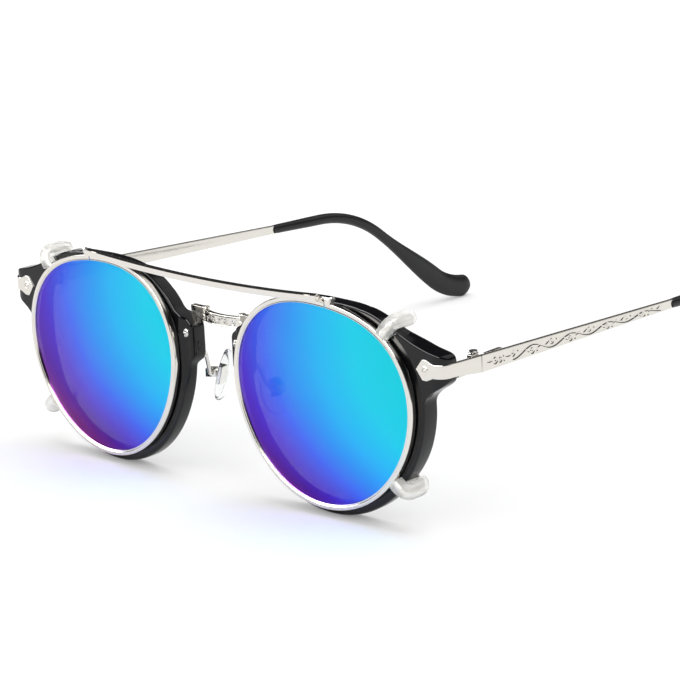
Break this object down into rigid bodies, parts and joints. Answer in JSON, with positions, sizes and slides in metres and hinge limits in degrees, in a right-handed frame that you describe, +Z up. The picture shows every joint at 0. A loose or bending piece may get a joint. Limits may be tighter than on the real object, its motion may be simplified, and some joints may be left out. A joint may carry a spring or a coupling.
{
  "type": "sunglasses",
  "caption": "Round spectacle frame with folding temples, rocking nose pads and a mirrored wire-rimmed clip-on held by sleeved claws.",
  "frame": {"origin": "under the middle of the whole object, on the surface that the rims and temple tips stand on", "axes": "+Z up, the lenses face -Y, the temples run to +Y, the wearer's left is +X"},
  "size_m": [0.1392, 0.1632, 0.0527],
  "materials": {
    "black_frame": "glossy injection-moulded",
    "clear_lens": "clear plastic",
    "black_tip": "satin acetate",
    "engraved_metal": "polished nickel silver with engraved vine",
    "screw_metal": "turned",
    "clear_silicone": "clear silicone",
    "clear_rubber": "clear soft tube",
    "wire_metal": "polished wire",
    "mirror_lens": "blue to green mirror coating",
    "clip_metal": "polished"
  },
  "bodies": {
    "front": {"rim_left": "black_frame", "rim_right": "black_frame", "base_lens_left": "clear_lens", "base_lens_right": "clear_lens", "bridge": "engraved_metal", "bridge_screws": "screw_metal", "pad_arm_left": "wire_metal", "pad_arm_right": "wire_metal", "pad_base_screws": "screw_metal", "pad_screws": "screw_metal", "end_plate_left": "engraved_metal", "end_plate_right": "engraved_metal", "end_plate_rivets": "screw_metal", "hinge_screw_left": "screw_metal", "hinge_screw_right": "screw_metal"},
    "temple_left": {"temple_left": "engraved_metal", "temple_tip_left": "black_tip"},
    "temple_right": {"temple_right": "engraved_metal", "temple_tip_right": "black_tip"},
    "nose_pad_left": {"pad_insert_left": "wire_metal", "nose_pad_left": "clear_silicone"},
    "nose_pad_right": {"pad_insert_right": "wire_metal", "nose_pad_right": "clear_silicone"},
    "clip_on": {"brow_bar": "clip_metal", "clip_rim_left": "clip_metal", "clip_rim_right": "clip_metal", "clip_lens_left": "mirror_lens", "clip_lens_right": "mirror_lens", "clip_screws": "screw_metal", "claw_upper_left": "wire_metal", "claw_upper_right": "wire_metal", "claw_lower_left": "wire_metal", "claw_lower_right": "wire_metal", "claw_sleeve_upper_left": "clear_rubber", "claw_sleeve_upper_right": "clear_rubber", "claw_sleeve_lower_left": "clear_rubber", "claw_sleeve_lower_right": "clear_rubber"}
  },
  "joints": [
    {"name": "temple_left_fold", "type": "hinge", "parent": "front", "child": "temple_left", "pos_m": [0.06659, -0.06303, 0.0376], "axis": [0, 0, 1], "range_deg": [0, 86]},
    {"name": "temple_right_fold", "type": "hinge", "parent": "front", "child": "temple_right", "pos_m": [-0.06659, -0.06303, 0.0376], "axis": [0, 0, -1], "range_deg": [0, 80]},
    {"name": "nose_pad_left_rock", "type": "hinge", "parent": "front", "child": "nose_pad_left", "pos_m": [0.0106, -0.06771, 0.02346], "axis": [0.4258, 0.9048, 0], "range_deg": [-8, 8]},
    {"name": "nose_pad_right_rock", "type": "hinge", "parent": "front", "child": "nose_pad_right", "pos_m": [-0.0106, -0.06771, 0.02346], "axis": [-0.4258, 0.9048, 0], "range_deg": [-8, 8]},
    {"name": "clip_on_pull", "type": "slide", "parent": "front", "child": "clip_on", "axis": [0, -1, 0], "range_m": [0, 0.03], "deforming": ["claw_upper_left", "claw_upper_right", "claw_lower_left", "claw_lower_right", "claw_sleeve_upper_left", "claw_sleeve_upper_right", "claw_sleeve_lower_left", "claw_sleeve_lower_right"]}
  ]
}
